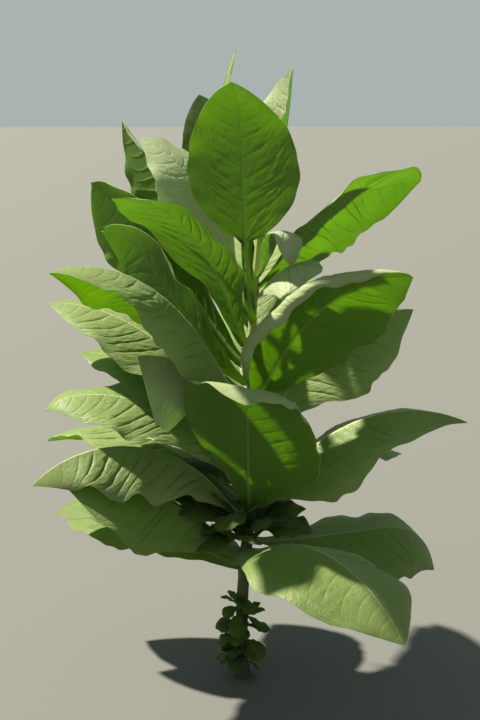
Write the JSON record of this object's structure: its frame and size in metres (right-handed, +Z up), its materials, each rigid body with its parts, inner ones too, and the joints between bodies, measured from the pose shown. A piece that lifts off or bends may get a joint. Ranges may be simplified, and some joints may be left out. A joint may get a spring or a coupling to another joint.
{
  "type": "tobacco plant",
  "caption": "Tall field tobacco plant in full leaf: one upright green stem with big drooping oval leaves all round and young leaves at the top.",
  "frame": {"origin": "middle of the flat cut of the stem at ground level", "axes": "+Z up the stem, +X to the right and -Y to the front as in the picture"},
  "size_m": [0.8948, 0.7825, 1.3078],
  "materials": {
    "stem": "matte",
    "leaf": "satin",
    "young_leaf": "matte"
  },
  "bodies": {
    "root": {"stem": "stem", "leaf_01_low_left": "leaf", "leaf_02_low_left": "leaf", "leaf_03_front_left": "leaf", "leaf_04_front_right": "leaf", "leaf_05_right": "leaf", "leaf_06_back": "leaf", "leaf_07_front_left": "leaf", "leaf_08_front": "leaf", "leaf_09_right": "leaf", "leaf_10_left": "leaf", "leaf_11_left": "leaf", "leaf_12_right_back": "leaf", "leaf_13_back": "leaf", "leaf_14_left": "leaf", "leaf_15_right": "leaf", "leaf_16_left": "leaf", "leaf_17_front_left": "leaf", "leaf_18_left_back": "leaf", "leaf_19_front_left": "leaf", "leaf_20_front_right": "leaf", "leaf_21_left": "leaf", "leaf_22_right_back": "leaf", "leaf_23_left_back": "leaf", "leaf_24_front_left": "leaf", "leaf_25_back": "leaf", "leaf_26_front": "leaf", "leaf_27_left_back": "leaf", "leaf_28_right": "leaf", "leaf_29_left": "leaf", "leaf_30_right": "young_leaf", "leaf_31_back": "leaf", "leaf_32_front_right": "young_leaf", "leaf_33_right_back": "leaf", "leaf_34_top_left": "leaf", "leaf_35_top": "young_leaf", "shoot_01_foot_left": "young_leaf", "shoot_02_foot_front": "young_leaf", "shoot_03_foot_left": "young_leaf", "shoot_04_foot_right": "young_leaf", "shoot_05_foot_left": "young_leaf", "shoot_06_low_right": "young_leaf", "shoot_07_mid_left": "young_leaf", "shoot_08_mid_front": "young_leaf"}
  },
  "joints": []
}
